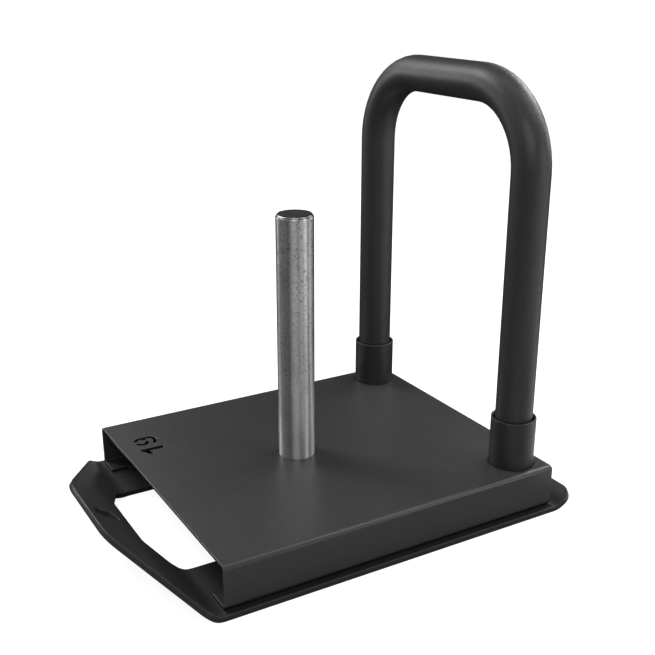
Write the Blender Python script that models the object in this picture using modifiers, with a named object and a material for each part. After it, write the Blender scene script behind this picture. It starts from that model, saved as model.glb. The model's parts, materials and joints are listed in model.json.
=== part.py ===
"""Weight sled: a bent skid plate, a folded deck, a plate post and a lift-out push handle.

Metres, +Z up. The sled's nose points to -Y and the push handle stands at the +Y end.
The origin is on the floor, under the middle of the sled's overall length and width.
"""

from math import atan2, ceil, copysign, cos, pi, radians, sin, tan

import bmesh
import bpy
from mathutils import Vector

# Deck: one folded sheet that the plates lie on
DECK_WIDTH = 0.425
DECK_LENGTH = 0.487
DECK_HEIGHT = 0.058             # from the skid plate to the deck's top
DECK_SHEET = 0.004
DECK_FOLD_RADIUS = 0.006        # outside of each fold
DECK_FLANGE = 0.035             # turned in under the deck, seen from below

# Skid plate: one thick sheet, bent up at the nose and at the tail
PLATE_SHEET = 0.0075
PLATE_RIM = 0.00825             # shows past each side of the deck
PLATE_BEND_RADIUS = 0.022       # inside of both bends
NOSE_BEND_AHEAD = 0.0023        # from the deck's front edge to where the nose bend starts
NOSE_ANGLE = radians(35.1)
NOSE_LENGTH = 0.1056            # along the sheet, from where the bend starts
NOSE_TAPER_START = 0.021        # along the sheet, from where the bend starts
NOSE_FRONT_WIDTH = 0.1496       # between the unrounded corners
NOSE_FRONT_CORNER = 0.080
PLATE_CORNER = 0.022
TAIL_BEND_BEHIND = 0.0019       # from the deck's rear edge to where the tail bend starts
TAIL_ANGLE = radians(27.0)
TAIL_LENGTH = 0.0388            # along the sheet, from where the bend starts

# Openings in the skid plate
WINDOW_WIDTH = 0.222
WINDOW_FRONT_WIDTH = 0.106      # between the unrounded corners
WINDOW_TAPER_START = 0.0155     # along the sheet, from where the bend starts
WINDOW_LIP = 0.062              # left between the window and the nose's front edge
WINDOW_UNDER_DECK = 0.150
WINDOW_SIDE_CORNER = 0.035
WINDOW_FRONT_CORNER = 0.020
WINDOW_REAR_CORNER = 0.018
TOW_SLOT_WIDTH = 0.022
TOW_SLOT_LENGTH = 0.036
TOW_SLOT_LIP = 0.0113           # left between the slot and the nose's front edge

# Weight post
POST_DIAMETER = 0.050
POST_WALL = 0.0025
POST_HEIGHT = 0.337             # above the deck
POST_FROM_FRONT = 0.210         # its axis, behind the deck's front edge
POST_CHAMFER = 0.0018
POST_PLUG_DEPTH = 0.018
POST_PLUG_TOP = 0.003
POST_PLUG_WALL = 0.002

# Push handle and its two sockets
HANDLE_FROM_REAR = 0.039        # axes of the legs, ahead of the deck's rear edge
HANDLE_DIAMETER = 0.050
HANDLE_WALL = 0.0025
HANDLE_BEND_RADIUS = 0.1025     # to the tube's axis
HANDLE_GRIP_HEIGHT = 0.5602     # axis of the top bar, above the floor
HANDLE_PLUG_HEAD = 0.004
HANDLE_PLUG_DEPTH = 0.020
HANDLE_PLUG_WALL = 0.003
SOCKET_WALL = 0.003
SOCKET_PLAY = 0.00215           # between the tube and the socket's bore
SOCKET_HEIGHT = 0.067           # above the deck
SOCKET_CHAMFER = 0.0005
SOCKET_SIDE_ROOM = 0.00685      # between a socket and the inside of the deck's side

# Welds
WELD_LEG = 0.0045
STITCH_LENGTH = 0.040
STITCH_COUNT = 3                # along each flange
STITCH_FROM_FRONT = 0.025       # from the deck's front edge to the first stitch
STITCH_FROM_SOCKET = 0.020      # from the last stitch to the socket behind it

# Clearances and fineness
TOUCH_GAP = 0.0003              # kept between pieces that touch
FOOT_PLAY = 0.0008              # round the post and the sockets where they pass the deck
EDGE_BREAK = 0.0006             # on the cut edges of both sheets
ARC_STEP = radians(7.5)
BEND_STEPS = 6
ROUND_STEPS = 56
HANDLE_BEND_STEPS = 13
HANDLE_TUBE_RESOLUTION = 14     # gives 32 sides
WELD_DISTANCE = 0.00001
FLAT_ANGLE = radians(0.5)       # faces of a flat sheet closer than this are one face
CUT_ANGLE = radians(60)         # edges sharper than this on a flat sheet are cut edges
SMOOTH_ANGLE = radians(30)

# Places that follow from the sizes above
DECK_UNDERSIDE = PLATE_SHEET + TOUCH_GAP
DECK_TOP = DECK_UNDERSIDE + DECK_HEIGHT
PLATE_WIDTH = DECK_WIDTH + 2 * PLATE_RIM
NOSE_BEND_AT = DECK_LENGTH / 2 + NOSE_BEND_AHEAD
TAIL_BEND_AT = DECK_LENGTH / 2 + TAIL_BEND_BEHIND
PLATE_MIDDLE_RADIUS = PLATE_BEND_RADIUS + PLATE_SHEET / 2
POST_Y = POST_FROM_FRONT - DECK_LENGTH / 2
POST_TOP = DECK_TOP + POST_HEIGHT
HANDLE_Y = DECK_LENGTH / 2 - HANDLE_FROM_REAR
SOCKET_RADIUS = HANDLE_DIAMETER / 2 + SOCKET_PLAY + SOCKET_WALL
SOCKET_TOP = DECK_TOP + SOCKET_HEIGHT
SOCKET_X = DECK_WIDTH / 2 - DECK_SHEET - SOCKET_SIDE_ROOM - SOCKET_RADIUS
FOOT = PLATE_SHEET + TOUCH_GAP


def direction(heading):
    return Vector((cos(heading), sin(heading)))


def folded(run, height, folds):
    """Where a point of a flat sheet goes when the sheet is folded.

    run is its distance along the flat sheet and height its distance over the sheet's middle.
    Each fold is (distance where it starts, radius of the sheet's middle, angle, up is positive).
    """
    spot = Vector((0.0, 0.0))
    heading = 0.0
    done = 0.0
    for start, radius, angle in folds:
        if run <= start:
            break
        spot += (start - done) * direction(heading)
        swept = min((run - start) / radius, abs(angle))
        new_heading = heading + copysign(swept, angle)
        middle = copysign(radius, angle) * direction(heading + pi / 2)
        spot += middle - copysign(radius, angle) * direction(new_heading + pi / 2)
        heading = new_heading
        done = start + swept * radius
    spot += (run - done) * direction(heading)
    return spot + height * direction(heading + pi / 2)


def fold_lines(folds):
    """Distances along the flat sheet where it is divided so that it can bend."""
    lines = []
    for start, radius, angle in folds:
        length = radius * abs(angle)
        lines += [start + length * step / BEND_STEPS for step in range(BEND_STEPS + 1)]
    return lines


NOSE_FOLDS = [(NOSE_BEND_AT, PLATE_MIDDLE_RADIUS, NOSE_ANGLE)]
TAIL_FOLDS = [(TAIL_BEND_AT, PLATE_MIDDLE_RADIUS, TAIL_ANGLE)]
NOSE_REACH = folded(NOSE_BEND_AT + NOSE_LENGTH, -PLATE_SHEET / 2, NOSE_FOLDS).x
TAIL_REACH = folded(TAIL_BEND_AT + TAIL_LENGTH, -PLATE_SHEET / 2, TAIL_FOLDS).x
DECK_MIDDLE_Y = (NOSE_REACH - TAIL_REACH) / 2


def corner_arc(before, corner, after, radius):
    """Points of the arc that rounds one corner of an outline."""
    to_before = (before - corner).normalized()
    to_after = (after - corner).normalized()
    half = to_before.angle(to_after) / 2
    centre = corner + (to_before + to_after).normalized() * radius / sin(half)
    first = corner + to_before * radius / tan(half) - centre
    last = corner + to_after * radius / tan(half) - centre
    start = atan2(first.y, first.x)
    turn = first.angle_signed(last)
    steps = max(1, ceil(abs(turn) / ARC_STEP))
    return [centre + radius * direction(start - turn * step / steps) for step in range(steps + 1)]


def rounded(corners):
    """An outline from (x, y, corner radius) values."""
    spots = [Vector((x, y)) for x, y, _ in corners]
    points = []
    for index, (_, _, radius) in enumerate(corners):
        after = spots[(index + 1) % len(spots)]
        if radius > 0:
            points += corner_arc(spots[index - 1], spots[index], after, radius)
        else:
            points.append(spots[index])
    return points


def circle(x, y, radius):
    headings = [2 * pi * step / ROUND_STEPS for step in range(ROUND_STEPS)]
    return [Vector((x, y)) + radius * direction(heading) for heading in headings]


def mesh_of_curve(curve):
    """The curve's solid as a mesh with its caps welded on; the curve itself is removed."""
    guide = bpy.data.objects.new("guide", curve)
    bpy.context.scene.collection.objects.link(guide)
    bpy.context.view_layer.update()
    seen = guide.evaluated_get(bpy.context.evaluated_depsgraph_get())
    mesh = bpy.data.meshes.new_from_object(seen)
    bpy.data.objects.remove(guide)
    bpy.data.curves.remove(curve)
    shape = bmesh.new()
    shape.from_mesh(mesh)
    bmesh.ops.remove_doubles(shape, verts=shape.verts, dist=WELD_DISTANCE)
    shape.to_mesh(mesh)
    shape.free()
    return mesh


def flat_solid(name, outlines, thickness):
    """A flat solid, centred on z = 0, from one outer outline and any number of holes."""
    curve = bpy.data.curves.new(name, "CURVE")
    curve.dimensions = "2D"
    curve.fill_mode = "BOTH"
    curve.extrude = thickness / 2
    for outline in outlines:
        spline = curve.splines.new("POLY")
        spline.points.add(len(outline) - 1)
        for point, spot in zip(spline.points, outline):
            point.co = (spot.x, spot.y, 0.0, 1.0)
        spline.use_cyclic_u = True
    mesh = mesh_of_curve(curve)
    mesh.name = name
    return mesh


def break_edges(shape):
    """Chamfer the cut edges of a flat sheet on both of its faces."""
    level = [e for e in shape.edges if abs(e.verts[0].co.z - e.verts[1].co.z) < WELD_DISTANCE]
    cut = [e for e in level if e.calc_face_angle(0.0) > CUT_ANGLE]
    bmesh.ops.bevel(shape, geom=cut, offset=EDGE_BREAK, segments=1, affect="EDGES")


def divide(shape, along, distances):
    """Cut the flat sheet's faces across, at each distance from its middle."""
    for distance in distances:
        everything = shape.verts[:] + shape.edges[:] + shape.faces[:]
        bmesh.ops.bisect_plane(shape, geom=everything, plane_co=along * distance, plane_no=along)


def sheet_metal(name, outlines, thickness, along, fore_folds, aft_folds):
    """A flat sheet with broken edges, folded on both sides of its middle."""
    mesh = flat_solid(name, outlines, thickness)
    shape = bmesh.new()
    shape.from_mesh(mesh)
    bmesh.ops.dissolve_limit(shape, angle_limit=FLAT_ANGLE, verts=shape.verts, edges=shape.edges)
    break_edges(shape)
    divide(shape, -along, fold_lines(fore_folds))
    divide(shape, along, fold_lines(aft_folds))
    for vert in shape.verts:
        run = vert.co.dot(along)
        side = copysign(1.0, run)
        spot = folded(abs(run), vert.co.z, aft_folds if run > 0 else fore_folds)
        vert.co += along * (side * spot.x - run)
        vert.co.z = spot.y
    shape.to_mesh(mesh)
    shape.free()
    return mesh


def turned(name, corners, steps=ROUND_STEPS):
    """An object turned round Z from (radius, height) corners.

    The corners run down the outer side. Where they start on the axis they also end on it,
    and otherwise they close into a ring that leaves a bore.
    """
    mesh = bpy.data.meshes.new(name)
    edges = [(index, index + 1) for index in range(len(corners) - 1)]
    if corners[0][0] > 0:
        edges.append((len(corners) - 1, 0))
    mesh.from_pydata([(radius, 0.0, height) for radius, height in corners], edges, [])
    piece = bpy.data.objects.new(name, mesh)
    screw = piece.modifiers.new("turn", "SCREW")
    screw.axis = "Z"
    screw.steps = steps
    screw.render_steps = steps
    screw.use_merge_vertices = True
    screw.merge_threshold = WELD_DISTANCE
    return piece


def material(name, colour, roughness, metallic):
    finish = bpy.data.materials.new(name)
    finish.use_nodes = True
    shader = finish.node_tree.nodes["Principled BSDF"]
    shader.inputs["Base Color"].default_value = (*colour, 1.0)
    shader.inputs["Roughness"].default_value = roughness
    shader.inputs["Metallic"].default_value = metallic
    finish.diffuse_color = (*colour, 1.0)
    return finish


def smooth(mesh):
    mesh.shade_smooth()
    mesh.set_sharp_from_angle(angle=SMOOTH_ANGLE)


def add(piece, look, place=(0.0, 0.0, 0.0)):
    """Put a finished piece in the sled's collection; place is measured from the deck's middle."""
    bpy.data.collections["weight_sled"].objects.link(piece)
    piece.location = Vector(place) + Vector((0.0, DECK_MIDDLE_Y, 0.0))
    if not piece.data.materials:
        piece.data.materials.append(look)
    return piece


def base_plate():
    """Skid plate with its nose window, tow slot and turned-up ends."""
    half = PLATE_WIDTH / 2
    taper = -(NOSE_BEND_AT + NOSE_TAPER_START)
    front = -(NOSE_BEND_AT + NOSE_LENGTH)
    rear = TAIL_BEND_AT + TAIL_LENGTH
    nose_half = NOSE_FRONT_WIDTH / 2
    outer = rounded([
        (-half, taper, PLATE_CORNER),
        (-nose_half, front, NOSE_FRONT_CORNER),
        (nose_half, front, NOSE_FRONT_CORNER),
        (half, taper, PLATE_CORNER),
        (half, rear, PLATE_CORNER),
        (-half, rear, PLATE_CORNER),
    ])
    side = WINDOW_WIDTH / 2
    front_side = WINDOW_FRONT_WIDTH / 2
    window_taper = -(NOSE_BEND_AT + WINDOW_TAPER_START)
    window_back = WINDOW_UNDER_DECK - DECK_LENGTH / 2
    window = rounded([
        (-side, window_taper, WINDOW_SIDE_CORNER),
        (-front_side, front + WINDOW_LIP, WINDOW_FRONT_CORNER),
        (front_side, front + WINDOW_LIP, WINDOW_FRONT_CORNER),
        (side, window_taper, WINDOW_SIDE_CORNER),
        (side, window_back, WINDOW_REAR_CORNER),
        (-side, window_back, WINDOW_REAR_CORNER),
    ])
    end = TOW_SLOT_WIDTH / 2
    slot_front = front + TOW_SLOT_LIP
    slot_back = slot_front + TOW_SLOT_LENGTH
    slot = rounded([
        (-end, slot_front, end),
        (end, slot_front, end),
        (end, slot_back, end),
        (-end, slot_back, end),
    ])
    outlines = [outer, window, slot]
    mesh = sheet_metal("base_plate", outlines, PLATE_SHEET, Vector((0, 1, 0)), NOSE_FOLDS, TAIL_FOLDS)
    smooth(mesh)
    look = material("base_plate_paint", (0.032, 0.032, 0.034), 0.55, 0.0)
    return add(bpy.data.objects.new("base_plate", mesh), look, (0, 0, PLATE_SHEET / 2))


def deck():
    """Folded deck: flat top, two sides and two flanges turned in on the skid plate."""
    radius = DECK_FOLD_RADIUS - DECK_SHEET / 2
    quarter = radius * pi / 2
    top_run = DECK_WIDTH / 2 - DECK_FOLD_RADIUS
    side_run = DECK_HEIGHT - 2 * DECK_FOLD_RADIUS
    flange_run = DECK_FLANGE - DECK_FOLD_RADIUS
    second = top_run + quarter + side_run
    folds = [(top_run, radius, -pi / 2), (second, radius, -pi / 2)]
    half = second + quarter + flange_run
    front = DECK_LENGTH / 2
    outer = [Vector((-half, -front)), Vector((half, -front)), Vector((half, front)), Vector((-half, front))]
    holes = [circle(0.0, POST_Y, POST_DIAMETER / 2 + FOOT_PLAY)]
    for side in (-1, 1):
        holes.append(circle(side * SOCKET_X, HANDLE_Y, SOCKET_RADIUS + FOOT_PLAY))
    mesh = sheet_metal("deck", [outer] + holes, DECK_SHEET, Vector((1, 0, 0)), folds, folds)
    smooth(mesh)
    look = material("deck_paint", (0.038, 0.038, 0.040), 0.50, 0.0)
    piece = add(bpy.data.objects.new("deck", mesh), look, (0, 0, DECK_TOP - DECK_SHEET / 2))
    for name, side in (("left", -1), ("right", 1)):
        notch = piece.modifiers.new(f"flange_notch_{name}", "BOOLEAN")
        notch.object = flange_notch(f"flange_notch_{name}", side)
        notch.solver = "EXACT"
    return piece


def flange_notch(name, side):
    """Cutter that lets a socket past the flange and down to the skid plate."""
    bpy.ops.mesh.primitive_cylinder_add(
        vertices=ROUND_STEPS,
        radius=SOCKET_RADIUS + FOOT_PLAY,
        depth=4 * DECK_SHEET,
        location=(side * SOCKET_X, DECK_MIDDLE_Y + HANDLE_Y, DECK_UNDERSIDE + DECK_SHEET / 2),
    )
    cutter = bpy.context.object
    cutter.name = name
    cutter.display_type = "WIRE"
    cutter.hide_render = True
    for holder in list(cutter.users_collection):
        holder.objects.unlink(cutter)
    bpy.data.collections["cutters"].objects.link(cutter)
    return cutter


def weight_post():
    """Steel tube, chamfered at its top, that stands on the skid plate and passes the deck."""
    outer = POST_DIAMETER / 2
    bore = outer - POST_WALL
    piece = turned("weight_post", [
        (bore, POST_TOP),
        (outer - POST_CHAMFER, POST_TOP),
        (outer, POST_TOP - POST_CHAMFER),
        (outer, FOOT),
        (bore, FOOT),
    ])
    smooth(piece.data)
    return add(piece, material("post_steel", (0.42, 0.42, 0.43), 0.32, 1.0), (0, POST_Y, 0))


def hollow_plug(name, head_radius, head, stem_radius, depth, wall):
    """Plastic plug, its head's underside at z = 0 and its hollow stem running down from there."""
    corners = [(0.0, head), (head_radius, head)]
    if head_radius > stem_radius:
        corners += [(head_radius, 0.0), (stem_radius, 0.0)]
    corners += [(stem_radius, -depth), (stem_radius - wall, -depth), (stem_radius - wall, 0.0), (0.0, 0.0)]
    piece = turned(name, corners, ROUND_STEPS // 2)
    smooth(piece.data)
    return piece


def post_end_plug():
    radius = POST_DIAMETER / 2 - POST_WALL - TOUCH_GAP
    stem_depth = POST_PLUG_DEPTH - POST_PLUG_TOP
    piece = hollow_plug("post_end_plug", radius, POST_PLUG_TOP, radius, stem_depth, POST_PLUG_WALL)
    look = material("post_plug_plastic", (0.03, 0.03, 0.032), 0.45, 0.0)
    return add(piece, look, (0, POST_Y, POST_TOP - POST_PLUG_TOP))


def sockets():
    """Two upright tubes that pass the deck and hold the handle's legs."""
    outer = SOCKET_RADIUS
    bore = SOCKET_RADIUS - SOCKET_WALL
    look = material("socket_paint", (0.034, 0.034, 0.036), 0.50, 0.0)
    corners = [
        (bore, SOCKET_TOP - SOCKET_CHAMFER),
        (bore + SOCKET_CHAMFER, SOCKET_TOP),
        (outer - SOCKET_CHAMFER, SOCKET_TOP),
        (outer, SOCKET_TOP - SOCKET_CHAMFER),
        (outer, FOOT),
        (bore, FOOT),
    ]
    for name, side in (("socket_left", -1), ("socket_right", 1)):
        piece = turned(name, corners)
        smooth(piece.data)
        add(piece, look, (side * SOCKET_X, HANDLE_Y, 0))


def handle_line():
    """Axis of the bent tube, from the foot of one leg to the foot of the other."""
    foot = FOOT + HANDLE_PLUG_HEAD + TOUCH_GAP
    bend_x = SOCKET_X - HANDLE_BEND_RADIUS
    bend_z = HANDLE_GRIP_HEIGHT - HANDLE_BEND_RADIUS
    right = [Vector((SOCKET_X, foot))]
    for step in range(HANDLE_BEND_STEPS + 1):
        angle = pi / 2 * step / HANDLE_BEND_STEPS
        right.append(Vector((bend_x, bend_z)) + HANDLE_BEND_RADIUS * direction(angle))
    left = [Vector((-spot.x, spot.y)) for spot in reversed(right)]
    return right + left


def push_handle(slide):
    """Bent tube whose two legs stand in the sockets and lift straight out."""
    curve = bpy.data.curves.new("push_handle", "CURVE")
    curve.dimensions = "3D"
    curve.bevel_depth = HANDLE_DIAMETER / 2
    curve.bevel_resolution = HANDLE_TUBE_RESOLUTION
    line = handle_line()
    spline = curve.splines.new("POLY")
    spline.points.add(len(line) - 1)
    for point, spot in zip(spline.points, line):
        point.co = (spot.x, 0.0, spot.y, 1.0)
    mesh = mesh_of_curve(curve)
    mesh.name = "push_handle"
    smooth(mesh)
    piece = bpy.data.objects.new("push_handle", mesh)
    wall = piece.modifiers.new("wall", "SOLIDIFY")
    wall.thickness = HANDLE_WALL
    wall.offset = -1.0
    wall.use_even_offset = True
    look = material("handle_paint", (0.030, 0.030, 0.032), 0.48, 0.0)
    add(piece, look)
    seat(piece, slide, (0, HANDLE_Y, 0))


def seat(piece, slide, place):
    """Parent a piece to the slide, at a place measured from the deck's middle and the floor."""
    piece.parent = slide
    piece.location = Vector(place) + Vector((0.0, DECK_MIDDLE_Y, 0.0)) - slide.location


def handle_end_plugs(slide):
    """Plugs that close the tube's ends and stand on the skid plate."""
    look = material("handle_plug_plastic", (0.02, 0.02, 0.02), 0.50, 0.0)
    head = HANDLE_DIAMETER / 2
    stem = head - HANDLE_WALL - TOUCH_GAP
    for name, side in (("handle_end_plug_left", -1), ("handle_end_plug_right", 1)):
        piece = hollow_plug(name, head, HANDLE_PLUG_HEAD, stem, HANDLE_PLUG_DEPTH, HANDLE_PLUG_WALL)
        add(piece, look)
        piece.rotation_euler = (pi, 0.0, 0.0)
        seat(piece, slide, (side * SOCKET_X, HANDLE_Y, FOOT + HANDLE_PLUG_HEAD))


def bead_outline(steps=4):
    """Cross-section of a fillet weld whose root is at the origin and whose legs run to +X and +Y."""
    bulge = [WELD_LEG * direction(pi / 2 * step / steps) for step in range(steps + 1)]
    return [Vector((0.0, 0.0))] + bulge


def collar_weld(name, x, y, radius, look):
    """Ring of weld round a tube, under the deck."""
    inner = radius + TOUCH_GAP
    root = DECK_TOP - DECK_SHEET - TOUCH_GAP
    corners = [(inner + spot.x, root - spot.y) for spot in bead_outline()]
    piece = turned(name, corners)
    smooth(piece.data)
    return add(piece, look, (x, y, 0))


def flange_welds(look):
    """Stitches between the free edge of each flange and the skid plate."""
    mesh = flat_solid("flange_weld", [bead_outline()], STITCH_LENGTH)
    smooth(mesh)
    edge = DECK_WIDTH / 2 - DECK_FLANGE - TOUCH_GAP
    first = STITCH_FROM_FRONT + STITCH_LENGTH / 2 - DECK_LENGTH / 2
    last = HANDLE_Y - SOCKET_RADIUS - STITCH_FROM_SOCKET - STITCH_LENGTH / 2
    for name, side in (("left", -1), ("right", 1)):
        for index in range(STITCH_COUNT):
            y = first + (last - first) * index / (STITCH_COUNT - 1)
            piece = bpy.data.objects.new(f"flange_weld_{name}_{index + 1}", mesh)
            add(piece, look, (side * edge, y, FOOT))
            piece.rotation_euler = (pi / 2, 0.0, 0.0 if side < 0 else pi)


def welds():
    look = material("weld_paint", (0.036, 0.036, 0.038), 0.45, 0.0)
    collar_weld("post_weld", 0.0, POST_Y, POST_DIAMETER / 2, look)
    collar_weld("socket_weld_left", -SOCKET_X, HANDLE_Y, SOCKET_RADIUS, look)
    collar_weld("socket_weld_right", SOCKET_X, HANDLE_Y, SOCKET_RADIUS, look)
    flange_welds(look)


def main():
    for old in list(bpy.data.objects):
        bpy.data.objects.remove(old, do_unlink=True)
    for name in ("weight_sled", "cutters"):
        bpy.context.scene.collection.children.link(bpy.data.collections.new(name))
    slide = bpy.data.objects.new("push_handle_slide", None)
    bpy.data.collections["weight_sled"].objects.link(slide)
    slide.location = (0.0, DECK_MIDDLE_Y + HANDLE_Y, FOOT)
    base_plate()
    deck()
    weight_post()
    post_end_plug()
    sockets()
    push_handle(slide)
    handle_end_plugs(slide)
    welds()


main()
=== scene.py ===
"""Looks of the weight sled: camera, studio, paint, steel, fine edges and the number cut in the deck.

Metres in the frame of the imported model: +Z up, nose towards -Y, push handle at the +Y end.
"""

import json
from math import cos, pi, radians, sin

import bmesh
import bpy
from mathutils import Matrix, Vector


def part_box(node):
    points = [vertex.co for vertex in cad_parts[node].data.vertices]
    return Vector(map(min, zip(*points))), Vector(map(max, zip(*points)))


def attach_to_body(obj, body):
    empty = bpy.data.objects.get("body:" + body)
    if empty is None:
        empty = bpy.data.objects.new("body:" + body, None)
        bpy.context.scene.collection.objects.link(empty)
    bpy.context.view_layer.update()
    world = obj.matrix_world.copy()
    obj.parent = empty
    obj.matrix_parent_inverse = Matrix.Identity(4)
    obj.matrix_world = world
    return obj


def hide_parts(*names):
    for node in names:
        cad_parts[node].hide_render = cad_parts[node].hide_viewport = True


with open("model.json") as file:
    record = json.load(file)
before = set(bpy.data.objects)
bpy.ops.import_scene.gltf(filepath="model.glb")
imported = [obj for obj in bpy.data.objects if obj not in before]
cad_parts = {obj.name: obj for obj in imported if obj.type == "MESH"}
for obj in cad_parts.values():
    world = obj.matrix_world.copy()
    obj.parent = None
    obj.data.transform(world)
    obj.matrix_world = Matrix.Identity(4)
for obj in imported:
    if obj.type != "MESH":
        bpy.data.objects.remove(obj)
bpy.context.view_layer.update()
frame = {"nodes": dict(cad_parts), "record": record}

NODES = frame["nodes"]
DECK_LOW, DECK_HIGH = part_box("deck")
DECK_TOP = DECK_HIGH.z

# Camera, fitted to the photograph
CAMERA_PLACE = (1.09212, -0.59944, 0.68726)
CAMERA_TURN = (radians(70.21), 0.0, radians(59.93))
CAMERA_LENS = 54.506            # millimetres, as the sensor's width
CAMERA_SENSOR = 36.0
CAMERA_SHIFT = (0.00922, 0.0084)
CAMERA_REACH = (0.05, 100.0)

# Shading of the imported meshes
WELD_DISTANCE = 0.00001
SHARP_ANGLE = radians(50)
POST_SHARP_ANGLE = radians(25)    # keeps the edge under its chamfer

# What noise mostly stays between, and the wider range that it hardly leaves
NOISE_MIDDLE = (0.35, 0.65)
NOISE_WIDE = (0.3, 0.7)

# Powder coats: colour, roughness, specular level
PAINTS = {
    "plate_paint": ((0.0165, 0.0165, 0.0168), 0.42, 0.28),
    "deck_paint": ((0.0282, 0.0282, 0.0288), 0.33, 0.35),
    "socket_paint": ((0.0135, 0.0135, 0.0138), 0.48, 0.36),
    "handle_paint": ((0.0240, 0.0240, 0.0245), 0.43, 0.27),
    "weld_paint": ((0.0140, 0.0140, 0.0144), 0.45, 0.34),
}
COAT_EDGE_RADIUS = 0.0011       # what the coat rounds off a cut edge by
COAT_GRAIN = 900.0              # waves per metre, as for the other patterns
COAT_CLOUD = 9.0
COAT_SPECK = 330.0
COAT_WEAR = 60.0
COAT_SPECK_FROM = (0.66, 0.74)
COAT_GRAIN_DEPTH = 0.00010
COAT_EDGE_WEAR_AND_HIGHLIGHT_TONE = 6.0            # times the coat's colour on its edges: thinner coat, partly painted highlight
COAT_EDGE_SMOOTHER = 0.12
PAINTED_SHADE_TONE = (0.0015, 0.0015, 0.0015)    # painted shade in the number's cuts and the crevices by the deck's lower folds
PAINTED_SHADE_ROUGHNESS = 0.9

# Bare steel of the post
STEEL_COLOUR = (0.385, 0.385, 0.390)
STEEL_ROUGHNESS = 0.40
STEEL_STRETCH = 0.85            # how far its highlights are drawn out along the tube
STEEL_RIM = 0.55                # keeps its edge-on reflections down
STEEL_EDGE_RADIUS = 0.0009
STEEL_CLOUD = 38.0
STEEL_MOTTLE = 420.0
STEEL_PITS = 330.0
STEEL_PATCHES = 60.0
STEEL_PIT_FROM = (0.55, 0.66)
STEEL_PIT_DEPTH = 0.00003
STEEL_PIT_HEIGHTS = (0.12, 0.36)      # fewer pits towards the lower height
STEEL_FOOT_LIGHT_HEIGHTS = (0.20, 0.08)    # painted light: lighter towards the lower height
STEEL_FOOT_LIGHT_TONE = 1.55
# Painted shade: faces that look upward are darkened, standing in for the dark reflection they show
STEEL_UPWARD_SHADE_TONE = 0.40
STEEL_CHAMFER_SLOPE = (0.2, 0.4)      # how far up a turned face looks
STEEL_EDGE_COLOUR = (0.95, 0.95, 0.96)

# Plastics: colour, roughness
PLASTICS = {
    "post_plug_plastic": ((0.012, 0.012, 0.0125), 0.55),
    "handle_plug_plastic": ((0.015, 0.015, 0.015), 0.55),
}
PLASTIC_SPECULAR = 0.22
PLASTIC_EDGE_RADIUS = 0.0005
PLASTIC_GRAIN = 1100.0
PLASTIC_CLOUD = 90.0
PLASTIC_GRAIN_DEPTH = 0.00008

# The post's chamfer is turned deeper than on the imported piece, and its plug stands a little proud
POST_PACKED_CHAMFER = 0.0018
POST_CHAMFER = 0.0039           # below the plug's top
POST_PLUG_PROUD = 0.0011

# Number cut through the deck, read from the handle's side
NUMBER_START_X = -0.1038        # where its first digit's stem starts
NUMBER_FOOT_Y = -0.1611
DIGIT_HEIGHT = 0.0332
DIGIT_STEM = 0.0088
DIGIT_GAP = 0.0103
NUMBER_REACH = (-0.121, -0.178, 0.033, 0.021)    # middle and half sizes of the area round it
CUT_BELOW = 0.012               # how far the cuts reach under the deck's top, and over it
CUT_ABOVE = 0.004
ARC_STEPS = 14

# Painted shade in the crevice between the deck's lower folds and the skid plate
FOLD_CREVICE = (0.0128, 0.0104)    # heights between which the folds take painted shade
PLATE_CREVICE = (0.2105, 0.0082, 0.0070)    # distance from x = 0, half width, lowest height

# Studio
FLOOR_RADIUS = 6.0
WALL_RADIUS = 9.0
WALL_HEIGHT = 2.6
FLOOR_COLOUR = 0.32
FLOOR_GLOW = (0.86, 0.97)       # near the sled and far from it
FLOOR_GLOW_REACH = (0.6, 2.5)
FLOOR_STEPS = 96
WALL_STEPS = 12
WORLD_STRENGTH = 0.14

# Softboxes stand round the sled and face it from the same distance. Each has its direction from the sled
# in degrees (round from +X towards +Y, then up), its width and height, and its radiance.
SOFTBOX_TARGET = Vector((0.0, 0.0, 0.25))
SOFTBOX_DISTANCE = 2.4
SOFTBOXES = {
    "softbox_left": (180, 33, 0.84, 0.80, 1.8),
    "softbox_nose_left": (204, 26, 0.84, 0.80, 4.2),
    "softbox_key": (210, 46, 0.84, 0.80, 13.8),
    "softbox_key_top": (205, 60, 0.80, 0.80, 4.5),
    "softbox_key_low": (212, 12, 0.60, 0.50, 13.0),
    "softbox_nose": (270, 33, 0.84, 0.80, 1.2),
    "softbox_camera": (320, 33, 0.84, 0.80, 5.6),
    "softbox_camera_right": (340, 33, 0.84, 0.80, 5.0),
    "softbox_right": (40, 33, 0.60, 0.80, 1.6),
    "softbox_right_top": (55, 56, 0.80, 0.80, 6.5),
    "softbox_rear_right": (80, 33, 0.84, 0.80, 4.6),
    "softbox_rear": (102, 33, 0.84, 0.80, 10.6),
    "softbox_rear_left": (122, 33, 0.84, 0.80, 1.0),
    "softbox_rear_low": (90, 12, 0.60, 0.50, 5.5),
    "softbox_top": (0, 88, 1.20, 1.20, 2.2),
}

# Upright strip lamp beyond the sled's near side, which the post shows as its bright stripe
STRIP_PLACE = (36, 2.10)        # degrees round from +X, distance
STRIP_SIZE = (0.55, 1.00)
STRIP_LIFT = 0.25               # from the floor to its lower end
STRIP_RADIANCE = 3.7

# Cloths that only reflections see. A tall black curtain stands left of the sled and behind it, and grey
# cloths before its nose and the camera. Each has its start and end in degrees, its inner radius, the height
# that its outer edge rises to, and its grey.
CLOTHS = {
    "studio_curtain_black": (80, 235, 0.36, 9.0, 0.005),
    "studio_cloth_nose": (235, 302, 0.36, 2.6, 0.13),
    "studio_cloth_camera": (302, 360, 0.62, 2.6, 0.13),
}
CLOTH_STEPS = 24
CLOTH_LIFT = 0.001              # over the floor and before the wall

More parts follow.
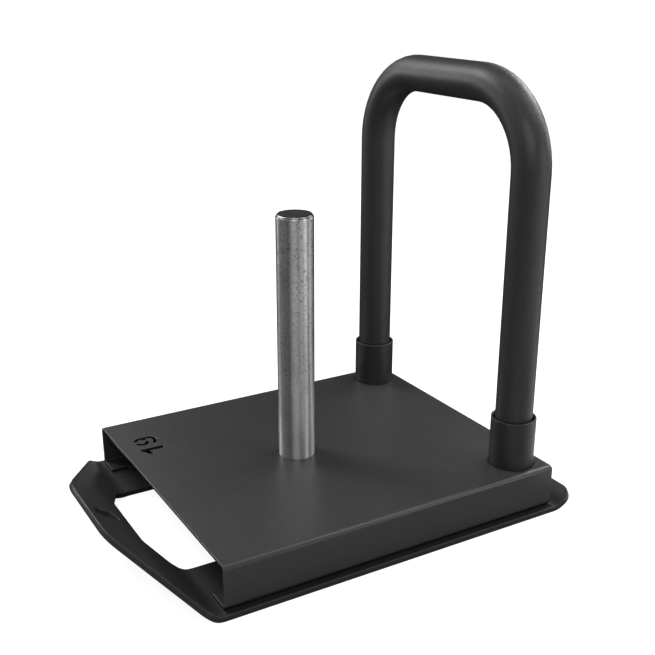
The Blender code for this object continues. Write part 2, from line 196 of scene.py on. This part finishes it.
# Mats on the floor that only reflections see: a grey one along the sled's near side, and black ones beyond
# its rear half and under its window. Each has its lowest x and y, its highest x and y, and its grey.
MATS = {
    "studio_mat_side": (0.190, -0.330, 0.400, 0.330, 0.32),
    "studio_mat_rear": (0.400, 0.120, 0.660, 0.520, 0.01),
    "studio_mat_window": (-0.160, -0.300, 0.160, -0.050, 0.01),
}
MAT_LIFT = 0.0005


def link(piece):
    bpy.context.scene.collection.objects.link(piece)
    return piece


# Material helpers


def new_material(name):
    finish = bpy.data.materials.new(name)
    finish.use_nodes = True
    tree = finish.node_tree
    return finish, tree, tree.nodes["Principled BSDF"]


def attach(tree, value, socket):
    """Link an output to the socket, or write a plain value on it."""
    if isinstance(value, bpy.types.NodeSocket):
        tree.links.new(value, socket)
    else:
        socket.default_value = value


def object_place(tree):
    """The shaded point in the piece's own coordinates."""
    return tree.nodes.new("ShaderNodeTexCoord").outputs["Object"]


def split(tree, vector):
    """The vector's x, y and z."""
    parts = tree.nodes.new("ShaderNodeSeparateXYZ")
    tree.links.new(vector, parts.inputs[0])
    return parts.outputs


def noise(tree, scale, detail=2.0, stretch=(1.0, 1.0, 1.0)):
    """Noise of about 0 to 1 in the piece's own coordinates; scale is in waves per metre."""
    mapping = tree.nodes.new("ShaderNodeMapping")
    mapping.inputs["Scale"].default_value = stretch
    texture = tree.nodes.new("ShaderNodeTexNoise")
    texture.inputs["Scale"].default_value = scale
    texture.inputs["Detail"].default_value = detail
    tree.links.new(object_place(tree), mapping.inputs["Vector"])
    tree.links.new(mapping.outputs["Vector"], texture.inputs["Vector"])
    return texture.outputs["Fac"]


def remap(tree, value, low, high, bottom, top):
    """value from low to high becomes bottom to top, and stays between them."""
    node = tree.nodes.new("ShaderNodeMapRange")
    attach(tree, value, node.inputs["Value"])
    for name, number in (("From Min", low), ("From Max", high), ("To Min", bottom), ("To Max", top)):
        attach(tree, number, node.inputs[name])
    return node.outputs["Result"]


def maths(tree, operation, *values):
    node = tree.nodes.new("ShaderNodeMath")
    node.operation = operation
    for socket, value in zip(node.inputs, values):
        attach(tree, value, socket)
    return node.outputs["Value"]


def blend(tree, share, first, second):
    """Colour that goes from first to second as share goes from 0 to 1."""
    node = tree.nodes.new("ShaderNodeMix")
    node.data_type = "RGBA"
    attach(tree, share, node.inputs["Factor"])
    for name, colour in (("A", first), ("B", second)):
        socket = next(s for s in node.inputs if s.name == name and s.type == "RGBA")
        attach(tree, (*colour, 1.0) if isinstance(colour, tuple) else colour, socket)
    return next(s for s in node.outputs if s.type == "RGBA")


def rounded_normal(tree, radius):
    node = tree.nodes.new("ShaderNodeBevel")
    node.samples = 6
    node.inputs["Radius"].default_value = radius
    return node.outputs["Normal"]


def bump(tree, height, distance, normal):
    node = tree.nodes.new("ShaderNodeBump")
    node.inputs["Distance"].default_value = distance
    attach(tree, height, node.inputs["Height"])
    attach(tree, normal, node.inputs["Normal"])
    return node.outputs["Normal"]


def edge_share(tree, normal, full=0.85):
    """0 on flat faces, up to 1 on a rounded edge whose normal's cosine to the face falls to full."""
    geometry = tree.nodes.new("ShaderNodeNewGeometry")
    dot = tree.nodes.new("ShaderNodeVectorMath")
    dot.operation = "DOT_PRODUCT"
    tree.links.new(normal, dot.inputs[0])
    tree.links.new(geometry.outputs["Normal"], dot.inputs[1])
    return remap(tree, dot.outputs["Value"], 0.995, full, 0.0, 1.0)


def scaled(colour, share):
    return tuple(channel * share for channel in colour)


def all_three(tree, first, second, third):
    return maths(tree, "MULTIPLY", maths(tree, "MULTIPLY", first, second), third)


def cut_share(tree):
    """1 on the walls of the number's cuts, which take painted shade, and 0 elsewhere."""
    place = split(tree, object_place(tree))
    middle_x, middle_y, half_x, half_y = NUMBER_REACH
    near_x = maths(tree, "COMPARE", place["X"], middle_x, half_x)
    near_y = maths(tree, "COMPARE", place["Y"], middle_y, half_y)
    below = maths(tree, "LESS_THAN", place["Z"], DECK_TOP - 0.0002)
    return all_three(tree, near_x, near_y, below)


def fold_crevice_share(tree):
    """1 on the undersides of the deck's lower folds, which take painted shade, and 0 elsewhere."""
    height = split(tree, object_place(tree))["Z"]
    return remap(tree, height, *FOLD_CREVICE, 0.0, 1.0)


def plate_crevice_share(tree):
    """1 on the skid plate's top beside the deck's lower folds, which takes painted shade, and 0 elsewhere."""
    place = split(tree, object_place(tree))
    middle_x, half_x, lowest = PLATE_CREVICE
    middle_y = (DECK_HIGH.y + DECK_LOW.y) / 2
    half_y = (DECK_HIGH.y - DECK_LOW.y) / 2
    near_x = maths(tree, "COMPARE", maths(tree, "ABSOLUTE", place["X"]), middle_x, half_x)
    near_y = maths(tree, "COMPARE", place["Y"], middle_y, half_y)
    above = maths(tree, "GREATER_THAN", place["Z"], lowest)
    return all_three(tree, near_x, near_y, above)


# Masks of the painted shade in each coat's cuts and crevices
PAINTED_SHADE_SHARES = {
    "deck_paint": (cut_share, fold_crevice_share),
    "plate_paint": (plate_crevice_share,),
}


def powder_coat(slot, colour, roughness, specular):
    """Finely grained black powder coat, thinner and lighter on the edges with a partly painted highlight, and
    painted shade in its cuts and crevices.
    """
    finish, tree, shader = new_material(f"{slot}_detail")
    normal = rounded_normal(tree, COAT_EDGE_RADIUS)
    grain = noise(tree, COAT_GRAIN, 3.0)
    cloud = noise(tree, COAT_CLOUD)
    speck = noise(tree, COAT_SPECK, 1.0)
    edge = edge_share(tree, normal)
    grained = remap(tree, grain, *NOISE_MIDDLE, 0.0, 1.0)
    tone = blend(tree, grained, scaled(colour, 0.80), scaled(colour, 1.20))
    tone = blend(tree, remap(tree, cloud, *NOISE_MIDDLE, 0.0, 0.2), tone, scaled(colour, 1.25))
    tone = blend(tree, remap(tree, speck, *COAT_SPECK_FROM, 0.0, 0.5), tone, scaled(colour, 2.0))
    # Lighter edges: thinner coat, partly painted highlight
    tone = blend(tree, maths(tree, "MULTIPLY", edge, 0.8), tone, scaled(colour, COAT_EDGE_WEAR_AND_HIGHLIGHT_TONE))
    rough = remap(tree, noise(tree, COAT_WEAR), *NOISE_WIDE, roughness - 0.02, roughness + 0.02)
    rough = maths(tree, "SUBTRACT", rough, maths(tree, "MULTIPLY", edge, COAT_EDGE_SMOOTHER))
    # Painted shade in the cuts and crevices, with a rougher surface there
    for painted_shade_share in PAINTED_SHADE_SHARES.get(slot, ()):
        painted_shade = painted_shade_share(tree)
        tone = blend(tree, painted_shade, tone, PAINTED_SHADE_TONE)
        rough = maths(tree, "MAXIMUM", rough, maths(tree, "MULTIPLY", painted_shade, PAINTED_SHADE_ROUGHNESS))
    attach(tree, tone, shader.inputs["Base Color"])
    attach(tree, rough, shader.inputs["Roughness"])
    shader.inputs["Specular IOR Level"].default_value = specular
    attach(tree, bump(tree, grain, COAT_GRAIN_DEPTH, normal), shader.inputs["Normal"])
    return finish


def bare_steel():
    """Drawn steel tube under dull zinc: cloudy streaks, dark pits, a foot painted lighter, painted dark
    reflection on faces that look upward, and polished edges.
    """
    finish, tree, shader = new_material("post_steel_detail")
    normal = rounded_normal(tree, STEEL_EDGE_RADIUS)
    cloud = noise(tree, STEEL_CLOUD, 4.0, (1.0, 1.0, 0.5))
    mottle = noise(tree, STEEL_MOTTLE)
    pits = noise(tree, STEEL_PITS, 2.0, (0.8, 0.8, 1.0))
    patches = noise(tree, STEEL_PATCHES)
    height = split(tree, object_place(tree))["Z"]
    clouded = remap(tree, cloud, *NOISE_WIDE, 0.0, 1.0)
    tone = blend(tree, clouded, scaled(STEEL_COLOUR, 0.92), scaled(STEEL_COLOUR, 1.12))
    tone = blend(tree, remap(tree, mottle, *NOISE_MIDDLE, 0.0, 0.45), tone, scaled(STEEL_COLOUR, 0.65))
    pitted = remap(tree, pits, *STEEL_PIT_FROM, 0.0, 1.0)
    pitted = maths(tree, "MULTIPLY", pitted, remap(tree, patches, 0.35, 0.6, 0.2, 0.85))
    pitted = maths(tree, "MULTIPLY", pitted, remap(tree, height, *STEEL_PIT_HEIGHTS, 0.45, 1.0))
    tone = blend(tree, pitted, tone, scaled(STEEL_COLOUR, 0.3))
    # Painted light: the foot is lighter
    painted_foot_light = remap(tree, height, *STEEL_FOOT_LIGHT_HEIGHTS, 0.0, 0.40)
    tone = blend(tree, painted_foot_light, tone, scaled(STEEL_COLOUR, STEEL_FOOT_LIGHT_TONE))
    # Painted shade: faces that look upward are darker
    slope = split(tree, tree.nodes.new("ShaderNodeNewGeometry").outputs["True Normal"])["Z"]
    painted_upward_shade = remap(tree, slope, *STEEL_CHAMFER_SLOPE, 0.0, 1.0)
    tone = blend(tree, painted_upward_shade, tone, scaled(STEEL_COLOUR, STEEL_UPWARD_SHADE_TONE))
    tone = blend(tree, edge_share(tree, normal, 0.96), tone, STEEL_EDGE_COLOUR)
    attach(tree, tone, shader.inputs["Base Color"])
    shader.inputs["Metallic"].default_value = 1.0
    shader.inputs["Specular Tint"].default_value = (STEEL_RIM, STEEL_RIM, STEEL_RIM, 1.0)
    rough = remap(tree, cloud, *NOISE_WIDE, STEEL_ROUGHNESS - 0.03, STEEL_ROUGHNESS + 0.03)
    attach(tree, rough, shader.inputs["Roughness"])
    shader.inputs["Anisotropic"].default_value = STEEL_STRETCH
    shader.inputs["Anisotropic Rotation"].default_value = 0.25
    tangent = tree.nodes.new("ShaderNodeTangent")
    tangent.direction_type = "RADIAL"
    tangent.axis = "Z"
    attach(tree, tangent.outputs["Tangent"], shader.inputs["Tangent"])
    attach(tree, bump(tree, pits, STEEL_PIT_DEPTH, normal), shader.inputs["Normal"])
    return finish


def plastic(slot, colour, roughness):
    """Moulded plastic with a fine eroded grain."""
    finish, tree, shader = new_material(f"{slot}_detail")
    grain = noise(tree, PLASTIC_GRAIN)
    cloud = noise(tree, PLASTIC_CLOUD, 3.0)
    grained = remap(tree, grain, *NOISE_WIDE, 0.0, 1.0)
    tone = blend(tree, grained, scaled(colour, 0.8), scaled(colour, 1.2))
    tone = blend(tree, remap(tree, cloud, 0.45, 0.75, 0.0, 0.5), tone, scaled(colour, 2.2))
    rough = remap(tree, grain, *NOISE_WIDE, roughness - 0.06, roughness + 0.06)
    normal = rounded_normal(tree, PLASTIC_EDGE_RADIUS)
    attach(tree, tone, shader.inputs["Base Color"])
    attach(tree, rough, shader.inputs["Roughness"])
    shader.inputs["Specular IOR Level"].default_value = PLASTIC_SPECULAR
    attach(tree, bump(tree, grain, PLASTIC_GRAIN_DEPTH, normal), shader.inputs["Normal"])
    return finish


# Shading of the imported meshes


def shading_group(name, sharp_angle):
    """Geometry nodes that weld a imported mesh's split corners and shade it smooth between its sharp edges."""
    group = bpy.data.node_groups.new(name, "GeometryNodeTree")
    group.interface.new_socket("Geometry", in_out="INPUT", socket_type="NodeSocketGeometry")
    group.interface.new_socket("Geometry", in_out="OUTPUT", socket_type="NodeSocketGeometry")
    nodes = group.nodes
    start = nodes.new("NodeGroupInput")
    clear = nodes.new("GeometryNodeRemoveAttribute")
    clear.inputs["Name"].default_value = "custom_normal"
    merge = nodes.new("GeometryNodeMergeByDistance")
    merge.inputs["Distance"].default_value = WELD_DISTANCE
    faces = nodes.new("GeometryNodeSetShadeSmooth")
    faces.domain = "FACE"
    angle = nodes.new("GeometryNodeInputMeshEdgeAngle")
    sharp = nodes.new("FunctionNodeCompare")
    sharp.data_type = "FLOAT"
    sharp.operation = "GREATER_THAN"
    sharp.inputs["B"].default_value = sharp_angle
    edges = nodes.new("GeometryNodeSetShadeSmooth")
    edges.domain = "EDGE"
    edges.inputs["Shade Smooth"].default_value = False
    end = nodes.new("NodeGroupOutput")
    links = group.links
    links.new(start.outputs[0], clear.inputs["Geometry"])
    links.new(clear.outputs["Geometry"], merge.inputs["Geometry"])
    links.new(merge.outputs["Geometry"], faces.inputs["Geometry"])
    links.new(faces.outputs["Geometry"], edges.inputs["Geometry"])
    links.new(angle.outputs["Unsigned Angle"], sharp.inputs["A"])
    links.new(sharp.outputs["Result"], edges.inputs["Selection"])
    links.new(edges.outputs["Geometry"], end.inputs[0])
    return group


def shade(piece, group):
    modifier = piece.modifiers.new("weld_and_smooth", "NODES")
    modifier.node_group = group
    weighted = piece.modifiers.new("weighted_normals", "WEIGHTED_NORMAL")
    weighted.keep_sharp = True
    weighted.weight = 100


# Number in the deck


def arc(centre, across, up, start, end):
    """Points of an ellipse's arc; start and end are degrees."""
    angles = [radians(start + (end - start) * step / ARC_STEPS) for step in range(ARC_STEPS + 1)]
    return [Vector((centre[0] + across * cos(a), centre[1] + up * sin(a))) for a in angles]


def digit_one():
    """Outline of a plain 1; its stem's left foot is at the origin, +X is reading direction."""
    return [[Vector(spot) for spot in (
        (0.0, 0.0),
        (DIGIT_STEM, 0.0),
        (DIGIT_STEM, DIGIT_HEIGHT),
        (0.0012, DIGIT_HEIGHT),
        (0.0004, DIGIT_HEIGHT - 0.0026),
        (-0.0112, 0.0243),
        (-0.0092, 0.0196),
        (-0.0054, 0.0196),
        (0.0, 0.0218),
    )]]


def digit_nine():
    """Outlines of a plain stencil 9 whose bridges hold the loop's inside."""
    loop, foot = (0.0130, 0.0224), (0.0130, 0.0095)
    outer, inner = (0.0130, 0.0108), (0.0064, 0.0050)
    outer_foot, inner_foot = (0.0130, 0.0095), (0.0066, 0.0038)
    left = arc(loop, *outer, 102, 267) + arc(loop, *inner, 265, 109)
    right = arc(loop, *outer, 83, 0) + arc(foot, *outer_foot, 0, -152)
    right += [Vector((0.0016, 0.0088)), Vector((0.0088, 0.0080))] + arc(foot, *inner_foot, -118, 0)
    right += [Vector((0.0196, 0.0139)), Vector((0.0168, 0.0150))] + arc(loop, *inner, -67, 68)
    return [left, right]


def cutter(name, outline, start):
    """Upright solid through the deck's top from an outline in reading coordinates."""
    foot = DECK_TOP - CUT_BELOW
    shape = bmesh.new()
    spots = [(NUMBER_START_X - start - spot.x, NUMBER_FOOT_Y - spot.y, foot) for spot in outline]
    face = shape.faces.new([shape.verts.new(spot) for spot in spots])
    raised = bmesh.ops.extrude_face_region(shape, geom=[face])
    lifted = [item for item in raised["geom"] if isinstance(item, bmesh.types.BMVert)]
    bmesh.ops.translate(shape, verts=lifted, vec=(0.0, 0.0, CUT_BELOW + CUT_ABOVE))
    bmesh.ops.recalc_face_normals(shape, faces=shape.faces)
    mesh = bpy.data.meshes.new(name)
    shape.to_mesh(mesh)
    shape.free()
    piece = link(bpy.data.objects.new(name, mesh))
    piece.hide_render = True
    piece.hide_viewport = True
    return piece


def numbered_deck(group):
    """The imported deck's mesh with the number cut through it."""
    mesh = NODES["deck"].data.copy()
    mesh.name = "deck_numbered"
    shape = bmesh.new()
    shape.from_mesh(mesh)
    bmesh.ops.remove_doubles(shape, verts=shape.verts, dist=WELD_DISTANCE)
    shape.to_mesh(mesh)
    shape.free()
    piece = link(bpy.data.objects.new("deck_numbered", mesh))
    cuts = [(outline, 0.0) for outline in digit_one()]
    cuts += [(outline, DIGIT_STEM + DIGIT_GAP) for outline in digit_nine()]
    for index, (outline, start) in enumerate(cuts):
        cut = piece.modifiers.new(f"number_{index}", "BOOLEAN")
        cut.object = cutter(f"number_cutter_{index}", outline, start)
        cut.operation = "DIFFERENCE"
        cut.solver = "EXACT"
    shade(piece, group)
    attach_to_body(piece, "sled")
    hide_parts("deck")
    return piece


def chamfered_post():
    """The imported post's mesh with the deeper chamfer of the photograph."""
    mesh = NODES["weight_post"].data.copy()
    mesh.name = "weight_post_chamfered"
    top = max(vertex.co.z for vertex in mesh.vertices)
    for vertex in mesh.vertices:
        below = top - vertex.co.z
        if below < POST_PACKED_CHAMFER * 0.5:
            vertex.co.z = top - POST_PLUG_PROUD
        elif below < POST_PACKED_CHAMFER * 1.5:
            vertex.co.z = top - POST_CHAMFER
    piece = link(bpy.data.objects.new("weight_post_chamfered", mesh))
    shade(piece, shading_group("weld_and_smooth_post", POST_SHARP_ANGLE))
    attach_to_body(piece, "sled")
    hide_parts("weight_post")
    return piece


# Studio


def make_camera():
    data = bpy.data.cameras.new("camera")
    data.sensor_width = CAMERA_SENSOR
    data.lens = CAMERA_LENS
    data.shift_x, data.shift_y = CAMERA_SHIFT
    data.clip_start, data.clip_end = CAMERA_REACH
    camera = link(bpy.data.objects.new("camera", data))
    camera.location = CAMERA_PLACE
    camera.rotation_euler = CAMERA_TURN
    bpy.context.scene.camera = camera


def floor_material():
    """Pale floor that keeps soft shadows; eyes and reflections see it white."""
    finish, tree, shader = new_material("studio_floor")
    tree.nodes.remove(shader)
    output = tree.nodes["Material Output"]
    diffuse = tree.nodes.new("ShaderNodeBsdfDiffuse")
    diffuse.inputs["Color"].default_value = (FLOOR_COLOUR, FLOOR_COLOUR, FLOOR_COLOUR, 1.0)
    length = tree.nodes.new("ShaderNodeVectorMath")
    length.operation = "LENGTH"
    tree.links.new(object_place(tree), length.inputs[0])
    glow = remap(tree, length.outputs["Value"], *FLOOR_GLOW_REACH, *FLOOR_GLOW)
    path = tree.nodes.new("ShaderNodeLightPath")
    seen = maths(tree, "MAXIMUM", path.outputs["Is Camera Ray"], path.outputs["Is Glossy Ray"])
    seen = maths(tree, "MAXIMUM", seen, path.outputs["Is Transmission Ray"])
    emission = tree.nodes.new("ShaderNodeEmission")
    attach(tree, maths(tree, "MULTIPLY", seen, glow), emission.inputs["Strength"])
    both = tree.nodes.new("ShaderNodeAddShader")
    tree.links.new(diffuse.outputs["BSDF"], both.inputs[0])
    tree.links.new(emission.outputs["Emission"], both.inputs[1])
    tree.links.new(both.outputs["Shader"], output.inputs["Surface"])
    return finish


def sweep(inner, height, lift):
    """Profile of the floor from the inner radius, then up a curved wall of the height."""
    spots = [(inner, lift), (FLOOR_RADIUS, lift)]
    for step in range(1, WALL_STEPS + 1):
        share = step / WALL_STEPS
        radius = FLOOR_RADIUS + (WALL_RADIUS - FLOOR_RADIUS) * share - lift
        spots.append((radius, height * share * share + lift))
    return spots


def make_floor():
    profile = sweep(0.0, WALL_HEIGHT, 0.0)
    mesh = bpy.data.meshes.new("studio_floor")
    edges = [(index, index + 1) for index in range(len(profile) - 1)]
    mesh.from_pydata([(radius, 0.0, height) for radius, height in profile], edges, [])
    floor = link(bpy.data.objects.new("studio_floor", mesh))
    screw = floor.modifiers.new("round", "SCREW")
    screw.steps = FLOOR_STEPS
    screw.render_steps = FLOOR_STEPS
    screw.use_merge_vertices = True
    screw.merge_threshold = 0.0001
    mesh.materials.append(floor_material())


def make_world():
    world = bpy.data.worlds.new("studio")
    world.use_nodes = True
    background = world.node_tree.nodes["Background"]
    background.inputs["Color"].default_value = (1.0, 1.0, 1.0, 1.0)
    background.inputs["Strength"].default_value = WORLD_STRENGTH
    bpy.context.scene.world = world


def make_lamp(name, place, towards, width, height, radiance):
    """Area lamp at the place that shines along the direction and isn't seen itself."""
    data = bpy.data.lights.new(name, "AREA")
    data.shape = "RECTANGLE"
    data.size, data.size_y = width, height
    data.energy = radiance * pi * width * height
    lamp = link(bpy.data.objects.new(name, data))
    lamp.location = place
    lamp.rotation_euler = towards.to_track_quat("-Z", "Y").to_euler()
    lamp.visible_camera = False


def make_lamps():
    for name, (azimuth, elevation, width, height, radiance) in SOFTBOXES.items():
        around, up = radians(azimuth), radians(elevation)
        away = Vector((cos(around) * cos(up), sin(around) * cos(up), sin(up)))
        make_lamp(name, SOFTBOX_TARGET + away * SOFTBOX_DISTANCE, -away, width, height, radiance)
    azimuth, distance = STRIP_PLACE
    around = radians(azimuth)
    away = Vector((cos(around), sin(around), 0.0))
    place = away * distance + Vector((0.0, 0.0, STRIP_SIZE[1] / 2 + STRIP_LIFT))
    make_lamp("strip", place, -away, *STRIP_SIZE, STRIP_RADIANCE)


def hang(name, spots, faces, grey):
    """Dull sheet that only reflections see, so it takes no light off the sled and the floor."""
    mesh = bpy.data.meshes.new(name)
    mesh.from_pydata(spots, [], faces)
    cloth = link(bpy.data.objects.new(name, mesh))
    finish, _, shader = new_material(name)
    shader.inputs["Base Color"].default_value = (grey, grey, grey, 1.0)
    shader.inputs["Roughness"].default_value = 1.0
    shader.inputs["Specular IOR Level"].default_value = 0.0
    mesh.materials.append(finish)
    cloth.visible_camera = False
    cloth.visible_diffuse = False
    cloth.visible_transmission = False
    cloth.visible_shadow = False


def make_cloth(name, start, end, inner, height, grey):
    """Cloth on the floor and up the wall between two directions."""
    angles = [radians(start + (end - start) * step / CLOTH_STEPS) for step in range(CLOTH_STEPS + 1)]
    profile = sweep(inner, height, CLOTH_LIFT)
    spots = [(r * cos(a), r * sin(a), z) for a in angles for r, z in profile]
    count = len(profile)
    faces = []
    for row in range(CLOTH_STEPS):
        for column in range(count - 1):
            corner = row * count + column
            faces.append((corner, corner + 1, corner + count + 1, corner + count))
    hang(name, spots, faces, grey)


def make_mat(name, low_x, low_y, high_x, high_y, grey):
    corners = ((low_x, low_y), (high_x, low_y), (high_x, high_y), (low_x, high_y))
    hang(name, [(x, y, MAT_LIFT) for x, y in corners], [(0, 1, 2, 3)], grey)


def dress(name, finish, group):
    piece = NODES[name]
    piece.data.materials.clear()
    piece.data.materials.append(finish)
    shade(piece, group)


def dress_all():
    group = shading_group("weld_and_smooth", SHARP_ANGLE)
    finishes = {slot: powder_coat(slot, *values) for slot, values in PAINTS.items()}
    finishes["post_steel"] = bare_steel()
    finishes.update({slot: plastic(slot, *values) for slot, values in PLASTICS.items()})
    slots = {row["node"]: row["material_slot"] for row in frame["record"]["subparts"]}
    for name, piece in (("deck", numbered_deck(group)), ("weight_post", chamfered_post())):
        piece.data.materials.clear()
        piece.data.materials.append(finishes[slots.pop(name)])
    for name, slot in slots.items():
        dress(name, finishes[slot], group)


dress_all()
make_floor()
make_world()
make_lamps()
for cloth_name, cloth_values in CLOTHS.items():
    make_cloth(cloth_name, *cloth_values)
for mat_name, mat_values in MATS.items():
    make_mat(mat_name, *mat_values)
make_camera()
bpy.context.scene.view_settings.view_transform = "Standard"
